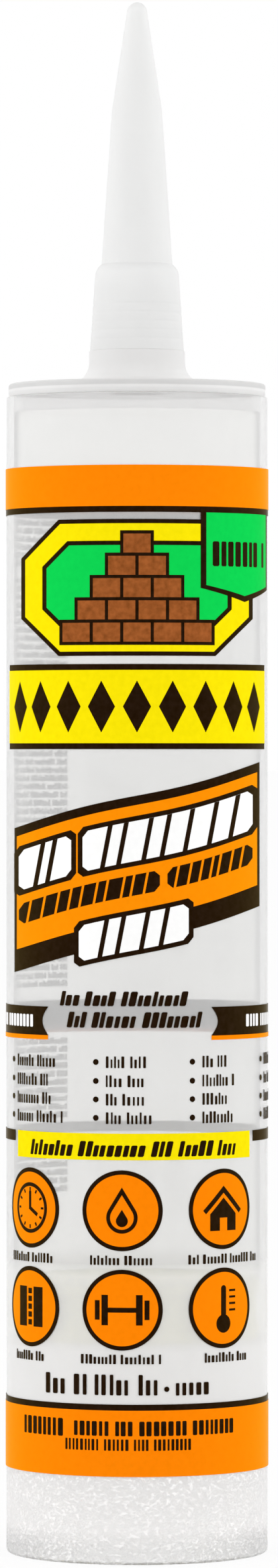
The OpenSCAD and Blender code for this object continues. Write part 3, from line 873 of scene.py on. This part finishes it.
def piston_mesh():
    cup = ([(0, crown_z)] + arc(rib_r - 0.4, crown_z - 0.4, 0.4, 90, 0, 5)
           + [(rib_r, seat_z + 0.15), (rib_r + 0.15, seat_z), (seat_r, seat_z),
              (seat_r, PISTON_LOW + EASE), (seat_r + EASE, PISTON_LOW)]
           + arc(LIP_R - 0.25, PISTON_LOW + 0.25, 0.25, -90, 0, 4)
           + arc(LIP_R - LIP_ROUND, PISTON_LOW + LIP_H - LIP_ROUND, LIP_ROUND, 0, 45, 3)
           + [(skirt_r, PISTON_LOW + LIP_H + SKIRT_IN), (skirt_r, PISTON_TOP - LIP_H - SKIRT_IN)]
           + arc(LIP_R - LIP_ROUND, PISTON_TOP - LIP_H + LIP_ROUND, LIP_ROUND, -45, 0, 3)
           + [(LIP_R, PISTON_TOP - CROWN_CUT), (LIP_R - CROWN_CUT, PISTON_TOP), (0, PISTON_TOP)])
    verts, faces = lathe_mesh(cup)

    def add(more_verts, more_faces):
        base = len(verts)
        verts.extend(more_verts)
        faces.extend([[base + i for i in f] for f in more_faces])

    add(*lathe_mesh([(0, seat_z), (HUB_R - 0.2, seat_z), (HUB_R, seat_z + 0.2),
                     (HUB_R, crown_z + 0.3), (0, crown_z + 0.3)]))
    for i in range(RIBS):
        a = 2 * math.pi * i / RIBS
        along, across = (math.cos(a), math.sin(a)), (-math.sin(a), math.cos(a))
        half, cut = RIB_T / 2, 0.2
        section = [(-half, crown_z + 0.3), (-half, seat_z + cut), (-half + cut, seat_z),
                   (half - cut, seat_z), (half, seat_z + cut), (half, crown_z + 0.3)]
        n = len(section)
        ends = []
        for reach in (HUB_R - 0.6, rib_r + 0.3):
            ends += [(along[0] * reach + across[0] * s, along[1] * reach + across[1] * s, z)
                     for s, z in section]
        sides = [[k, (k + 1) % n, n + (k + 1) % n, n + k] for k in range(n)]
        add(ends, sides + [list(range(n))[::-1], list(range(n, 2 * n))])
    return verts, faces


dress(mesh_object("piston_moulding", *piston_mesh()), "piston", "piston_plastic", PISTON, "piston")

GEL_R = BORE_R - 0.015
gel_low = PISTON_TOP - 0.02
gel_high = GEL_TOP - 0.02
gel = dress(lathe("gel_fill",
                  [(0, gel_low)]
                  + arc(GEL_R - GEL_ROUND, gel_low + GEL_ROUND, GEL_ROUND, -90, 0, 4)
                  + line((GEL_R, gel_low + GEL_ROUND), (GEL_R, gel_high - GEL_ROUND), 30)
                  + arc(GEL_R - GEL_ROUND, gel_high - GEL_ROUND, GEL_ROUND, 0, 90, 4)
                  + [(0, gel_high)]),
            "tube", "clear_gel", GEL, "adhesive")
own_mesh(gel)

dress(lathe("film_sleeve",
            [(BARREL_R + STEP, FILM_LOW), (FILM_R, FILM_LOW)]
            + line((FILM_R, FILM_LOW), (FILM_R, FILM_LOW + FILM_H), 12)
            + [(FILM_R, FILM_LOW + FILM_H), (BARREL_R + STEP, FILM_LOW + FILM_H)]
            + line((BARREL_R + STEP, FILM_LOW + FILM_H), (BARREL_R + STEP, FILM_LOW), 12)),
      "tube", "clear_film", FILM, "label_film")


# Print that stands for the CAD's print nodes

def ribbon(low, high, start, end):
    """Stretch of ribbon with hollow ends."""
    a, b = arc_mm(start), arc_mm(end)
    steps = 10
    hollow = [(RIBBON_NOTCH * math.sin(math.pi * i / steps), low + (high - low) * i / steps)
              for i in range(steps + 1)]
    return [(b - x, h) for x, h in hollow] + [(a + x, h) for x, h in reversed(hollow)]


def fit_band(low, high, start, end):
    return up(band(low, high, start, end))


black = [[fit_band(yellow_low - KEYLINE, yellow_top + KEYLINE, -YELLOW_REACH, YELLOW_REACH)],
         [panel(0)],
         [banner(-BANNER_W / 2, BANNER_W / 2, -BANNER_H / 2, BANNER_H / 2)],
         [up(ribbon(ribbon_low, ribbon_low + RIBBON_H, RIBBON_RIGHT, 360 - RIBBON_LEFT))],
         [fit_band(side_bar_low, side_bar_low + SIDE_BAR_H,
                   TAG_RIGHT + TAG_GAP, 360 - TAG_LEFT - TAG_GAP)]]
black += [[disc(ICON_R, az, h)] for az, h, _, _ in ICON_PLACES]
print_black = ink("print_black_base", black, BLACK_R,
                  [((top_band_low - KEYLINE) * FIT, top_band_low * FIT),
                   (LOW_BAND_H * FIT, (LOW_BAND_H + KEYLINE) * FIT)])
dress(print_black, "tube", "ink_black", BLACK, "print_black")
low_edge = block(*LOW_BLOCK, BLOCK_LINE)
dress(ink("print_black_block", [[low_edge]], (BLACK_R[0] + 0.001, BLACK_R[1] + 0.001)),
      "tube", "ink_black", BLACK)

banner_orange = banner(-BANNER_W / 2 + BANNER_SIDE_LINE, BANNER_W / 2 - BANNER_SIDE_LINE,
                       -BANNER_H / 2 + BANNER_LOW_BAND, BANNER_H / 2 - BANNER_TOP_LINE)
orange = [[fit_band(ribbon_low - RIBBON_LINE, ribbon_low, RIBBON_RIGHT, 360 - RIBBON_LEFT)]]
orange += [[disc(ICON_R - ICON_LINE, az, h)] for az, h, _, _ in ICON_PLACES]
dress(ink("print_orange_areas", orange, COLOUR_R,
          [(0, LOW_BAND_H * FIT), (top_band_low * FIT, FILM_H)]),
      "tube", "ink_orange", ORANGE, "print_orange")
dress(ink("print_orange_banner", [[banner_orange]], COLOUR_R), "tube", "ink_orange", BANNER_ORANGE)

yellow_mid = yellow_low + YELLOW_H / 2
lozenge = up([(-LOZENGE_W / 2, yellow_mid), (0, yellow_mid - LOZENGE_H / 2),
              (LOZENGE_W / 2, yellow_mid), (0, yellow_mid + LOZENGE_H / 2)])
lozenges = [unroll(lozenge, (i - LOZENGES // 2) * LOZENGE_STEP) for i in range(LOZENGES)]
yellow = [[fit_band(yellow_low, yellow_top, -YELLOW_REACH, YELLOW_REACH)] + lozenges,
          [panel(PANEL_LINE), panel(PANEL_LINE + PANEL_BORDER)],
          [fit_band(tag_low, tag_low + TAG_H, -TAG_LEFT, TAG_RIGHT)]]
dress(ink("print_yellow_areas", yellow, COLOUR_R), "tube", "ink_yellow", YELLOW, "print_yellow")
dress(ink("print_green_areas", [[panel(2 * PANEL_LINE + PANEL_BORDER)]], COLOUR_R),
      "tube", "ink_green", GREEN, "print_green")

# Dark edges, blocks and bars lie on the colours, one pass of ink higher, and their fillings on them
dress(ink("panel_dark", [[brick_stack(BRICK_JOINT)], [tab(TAB_LINE)]], OVER_R),
      "tube", "ink_black", BLACK)
dress(ink("print_brown_bricks", [[loop] for loop in bricks()], TOP_R),
      "tube", "ink_brown", BROWN, "print_brown")
dress(ink("print_green_tab", [[tab(0)]], TOP_R), "tube", "ink_green", GREEN)
dress(ink("banner_dark", [[block(*b, BLOCK_LINE)] for b in HEADLINES] + [[block(*b)] for b in BARS]
          + [[low_edge]], OVER_R),
      "tube", "ink_black", BLACK)
dress(ink("print_white_blocks", [[block(*b)] for b in HEADLINES] + [[block(*LOW_BLOCK)]], TOP_R),
      "tube", "ink_white", WHITE, "print_white")

# Fine print

rng = random.Random(11)
SLANT = 0.22
# The list of points: heights of its rows, and azimuths of each column's bullet, start and end
LIST_ROWS = (75.3, 71.8, 68.4, 65.0)
LIST_COLUMNS = [(-68.9, -64.5, -32.2), (-18.0, -13.5, 7.3), (24.6, 29.5, 49.1), (69.7, 74.4, 100)]
LIST_SIZE = 2.15
BULLET_R = 0.55
BULLET_RISE = 1.1
# Captions under the pictograms: height, and azimuths of their ends
CAPTIONS = [(39.0, [(-69.2, -38.7), (-20.6, 6.8), (22.7, 64)]),
            (20.75, [(-65.4, -43.7), (-24.9, 11.4), (30.7, 55.8)])]
# Other lines: azimuths of the ends, height, size, weight, gap, and what else their words have
FINE_LINES = [(*ends, h, 1.75, 0.25, 0.2, {}) for h, row in CAPTIONS for ends in row]
FINE_LINES += [(-43.3, -21.2, 15.0, 3.8, 0.22, 0.17, {"longest": 4}),
               (-18.5, 8.8, 15.0, 3.8, 0.22, 0.17, {"longest": 5}),
               (17, 34.4, 14.9, 2.3, 0.34, 0.24, {"tall": 1, "longest": 20}),
               (-35.5, 24.3, 86.7, 2.7, 0.36, 0.13, {"lean": SLANT}),
               (-32, 30, 82.7, 2.9, 0.36, 0.13, {"lean": SLANT})]
COLOURED_LINES = [(-53.3, 46.9, 58.95, 2.85, 0.34, 0.13, {"lean": SLANT}),
                  (-57.9, -30.7, 7.2, 3.3, 0.28, 0.13, {"tall": 1}),
                  (-28.1, 50, 7.5, 2.7, 0.28, 0.14, {"tall": 1}),
                  (-32.4, 24.3, 4.8, 2.1, 0.2, 0.17, {"tall": 1})]
RIBBON_LINES = [(55.3, 108, ribbon_low + 1.5, 2.3, 0.34, 0.18, {"tall": 1}),
                (-104, -51.4, ribbon_low + 1.5, 2.3, 0.34, 0.18, {"tall": 1})]


def lines_of_words(rows):
    return [loop for *row, more in rows for loop in words(rng, *row, **more)]


fine = []
bullets = []
for h in LIST_ROWS:
    for bullet, start, end in LIST_COLUMNS:
        bullets.append(circle(BULLET_R, arc_mm(bullet), h + BULLET_RISE, 12))
        fine += words(rng, start, start + (end - start) * rng.uniform(0.66, 1), h, LIST_SIZE, 0.19, 0.19)
fine += lines_of_words(FINE_LINES)
bullets.append(circle(0.5, arc_mm(12.9), 16.1, 12))
dress(ink("fine_print", [], BLACK_R, small=fine + bullets), "tube", "ink_black", BLACK)
marks = lines_of_words(COLOURED_LINES)


def turned(points, angle, dx=0.0, dy=0.0):
    c, s = math.cos(math.radians(angle)), math.sin(math.radians(angle))
    return [(x * c - y * s + dx, x * s + y * c + dy) for x, y in points]


def oblong(w, h, angle=0.0, dx=0.0, dy=0.0):
    return turned([(-w / 2, -h / 2), (w / 2, -h / 2), (w / 2, h / 2), (-w / 2, h / 2)], angle, dx, dy)


def droplet(r, tip, dy=0.0):
    start = math.degrees(math.acos(r / tip))
    return ([(x, y + dy) for x, y in arc(0, 0, r, 90 + start, 450 - start, 40)] + [(0, tip + dy)])


# Pictograms of this model's own: a clock, a droplet, a house, boards with a bead, a weight and a gauge
PICTURES = {
    (1, -1): ([[circle(4.7), circle(4.0)], [oblong(0.7, 3.4, 0, 0, 1.4)],
               [oblong(0.7, 2.6, -120, 1.0, -0.6)]]
              + [[oblong(0.4, 0.7, -30 * k, 3.45 * math.sin(math.radians(30 * k)),
                         3.45 * math.cos(math.radians(30 * k)))] for k in range(12)]),
    (1, 0): [[droplet(2.9, 5.6, -1.3), droplet(2.2, 4.2, -1.3)], [droplet(1.1, 2.1, -1.9)]],
    (1, 1): [[[(-4.6, -0.2), (0, 4.3), (4.6, -0.2), (4.0, -0.85), (0, 3.0), (-4.0, -0.85)]],
             [[(-3.1, -0.9), (0, 2.1), (3.1, -0.9), (3.1, -4), (-3.1, -4)],
              [(-0.9, -3.999), (-0.9, -1.6), (0.9, -1.6), (0.9, -3.999)]]],
    (0, -1): [[oblong(2.5, 7.4, 0, -2.3, 0)], [oblong(2.5, 7.4, 0, 2.3, 0)],
              [oblong(1.1, 1.0, 0, 0, 2.9)], [oblong(1.1, 1.0, 0, 0, 1.45)], [oblong(1.1, 1.0, 0, 0, 0)],
              [oblong(1.1, 1.0, 0, 0, -1.45)], [oblong(1.1, 1.0, 0, 0, -2.9)]],
    (0, 0): [[oblong(5.6, 0.9)], [oblong(1.2, 5.6, 0, -3.2, 0)], [oblong(1.2, 5.6, 0, 3.2, 0)],
             [oblong(0.9, 3.6, 0, -4.6, 0)], [oblong(0.9, 3.6, 0, 4.6, 0)]],
    (0, 1): [[circle(1.7, 0, -2.9)], [oblong(1.2, 5.4, 0, 0, 0.9)], [circle(0.6, 0, 3.6)]]
            + [[oblong(1.6, 0.4, 0, 2.2, y)] for y in (-0.4, 0.8, 2.0, 3.2)],
}
pictures = []
for az, h, row, column in ICON_PLACES:
    for loops in PICTURES[(row, column)]:
        pictures.append([unroll([(x, y + h) for x, y in loop], az) for loop in loops])
dress(ink("fine_marks", pictures, OVER_R, small=marks), "tube", "ink_black", BLACK)

# Slits that part the banner's blocks and bars into plain chips, and chips on the tab and the ribbon
SLIT_LEAN = 0.2
SLIT_OVER = 0.05
BLOCK_SLIT = 0.9
BAR_SLIT = 0.45


def slits(split, low, height, count, width):
    x0, x1 = split
    lean = SLIT_LEAN * height / 2
    foot, head = low - SLIT_OVER, low + height + SLIT_OVER
    loops = []
    for i in range(1, count):
        x = x0 + (x1 - x0) * (i + rng.uniform(-0.2, 0.2)) / count
        left, right = x - width / 2, x + width / 2
        loops.append([unroll([on_banner(left - lean, foot), on_banner(right - lean, foot),
                              on_banner(right + lean, head), on_banner(left + lean, head)])])
    return loops


dark_slits = (slits(*HEADLINES[0], 3, BLOCK_SLIT) + slits(*HEADLINES[1], 8, BLOCK_SLIT)
              + slits(*LOW_BLOCK, 5, BLOCK_SLIT))
tab_chips = words(rng, 34.5, 74, 167.9, 4.6, 0.3, 0.12, tall=1)
dress(ink("banner_slits", dark_slits, LAST_R, small=tab_chips), "tube", "ink_black", BLACK)
orange_slits = slits(*BARS[0], 11, BAR_SLIT) + slits(*BARS[1], 8, BAR_SLIT)
dress(ink("bar_slits", orange_slits, TOP_R), "tube", "ink_orange", BANNER_ORANGE)
dress(ink("ribbon_chips", [], COLOUR_R, small=lines_of_words(RIBBON_LINES)),
      "tube", "ink_white", WHITE)

# Rows of small print on the far side, which show as grey streaks through the gel
FAR_FIRST = 50
FAR_PITCH = 1.56
FAR_ROWS = 84
FAR_SIZE = 1.2
FAR_START = -147
FAR_ENDS = (-106, -98)
FAR_GAP_EVERY = 17
FAR_GAP_AT = 7
far = []
for row in range(FAR_ROWS):
    h = FAR_FIRST + row * FAR_PITCH
    on_ribbon = ribbon_low - 2 < h < ribbon_low + RIBBON_H
    on_side_bar = side_bar_low - 1.5 < h < side_bar_low + SIDE_BAR_H + 0.5
    if on_ribbon or on_side_bar or row % FAR_GAP_EVERY == FAR_GAP_AT:
        continue
    far += words(rng, FAR_START, rng.uniform(*FAR_ENDS), h, FAR_SIZE, 0.4, 0.1, tall=0.6, longest=18)
dress(ink("far_side_rows", [], BLACK_R, small=far), "tube", "ink_black", GREY)

# Camera, light and floor

SENSOR = 36
VIEW_HEIGHT = math.radians(12.53)
VIEW_SHIFT = -0.0192
VIEW_PLACE = (0.00037, -1.34, 0.1495)
WORLD_SOFT = 0.885
INSIDE_GAIN = 0.75
FLOOR_WHITE = 0.88
FLOOR_THROUGH = 0.45
WHITE_LIGHT = (1, 1, 1, 1)

scene = bpy.context.scene
camera_data = bpy.data.cameras.new("camera")
camera_data.sensor_fit = "VERTICAL"
camera_data.sensor_height = SENSOR
camera_data.lens = SENSOR / 2 / math.tan(VIEW_HEIGHT / 2)
camera_data.shift_y = VIEW_SHIFT
camera = bpy.data.objects.new("camera", camera_data)
camera.location = VIEW_PLACE
camera.rotation_euler = (math.radians(90), 0, 0)
scene.collection.objects.link(camera)
scene.camera = camera


def lamp(name, place, size, power, target=(0, 0, 0.14)):
    data = bpy.data.lights.new(name, "AREA")
    data.shape = "RECTANGLE"
    data.size, data.size_y = size
    data.energy = power
    obj = bpy.data.objects.new(name, data)
    obj.location = place
    obj.rotation_euler = (Vector(target) - Vector(place)).to_track_quat("-Z", "Y").to_euler()
    obj.visible_camera = False
    obj.visible_transmission = False
    obj.visible_glossy = False
    scene.collection.objects.link(obj)


lamp("key", (-1.45, -0.5, 0.5), (0.8, 1.1), 6.3)
lamp("fill", (1.45, -0.45, 0.45), (0.8, 1.1), 6)


def backdrop_share(owner, path, through):
    """1 for camera and glossy rays, a share for rays that went through the tube, 0 for others."""
    direct = combine(owner, "MAXIMUM", path.outputs["Is Camera Ray"], path.outputs["Is Glossy Ray"],
                     (-600, -400))
    passed = combine(owner, "MULTIPLY", path.outputs["Is Transmission Ray"], through, (-600, -600))
    return combine(owner, "MAXIMUM", direct, passed, (-400, -500))


def mixed(owner, share, first, second, output):
    """Mixes two shaders by a share and shows the result."""
    made = node(owner, "ShaderNodeMixShader", (250, 0))
    for socket, value in zip(made.inputs, (share, first, second)):
        feed(owner, value, socket)
    feed(owner, made.outputs[0], output.inputs["Surface"])


world = bpy.data.worlds.new("studio")
scene.world = world
world.use_nodes = True
world.node_tree.nodes.clear()
path = node(world, "ShaderNodeLightPath", (-900, -400))
# The lamps are hidden from rays that pass through the wall, so the world makes up for their light
# inside
inside_light = combine(world, "GREATER_THAN", path.outputs["Diffuse Depth"], 0.5, (-600, 200))
through = combine(world, "MULTIPLY", inside_light, path.outputs["Is Transmission Ray"], (-400, 200))
strength = blend(world, through, 1, 1 + INSIDE_GAIN, (-200, 200))
shown = node(world, "ShaderNodeBackground", (0, -200), Color=WHITE_LIGHT)
feed(world, strength, shown.inputs["Strength"])
soft = node(world, "ShaderNodeBackground", (0, 0), Color=WHITE_LIGHT, Strength=WORLD_SOFT)
mixed(world, backdrop_share(world, path, 1), soft.outputs[0], shown.outputs[0],
      node(world, "ShaderNodeOutputWorld", (500, 0)))

floor_mesh = bpy.data.meshes.new("floor")
floor_mesh.from_pydata([(-30, -6, 0), (30, -6, 0), (30, 60, 0), (-30, 60, 0)], [], [(0, 1, 2, 3)])
floor = bpy.data.objects.new("floor", floor_mesh)
scene.collection.objects.link(floor)
paper = principled("floor", (0.95, 0.95, 0.95), 0.7, Specular_IOR_Level=0.1)
floor.data.materials.append(paper)
glow = node(paper, "ShaderNodeEmission", (0, -200), Color=WHITE_LIGHT, Strength=1.0)
path = node(paper, "ShaderNodeLightPath", (-900, -500))
seen = combine(paper, "MULTIPLY", backdrop_share(paper, path, FLOOR_THROUGH), FLOOR_WHITE, (80, -500))
parts = paper.node_tree.nodes
mixed(paper, seen, parts["Principled BSDF"].outputs[0], glow.outputs[0], parts["Material Output"])

scene.view_settings.view_transform = "Standard"
scene.cycles.max_bounces = 32
scene.cycles.transmission_bounces = 24
scene.cycles.glossy_bounces = 24
scene.cycles.diffuse_bounces = 8
scene.cycles.transparent_max_bounces = 12
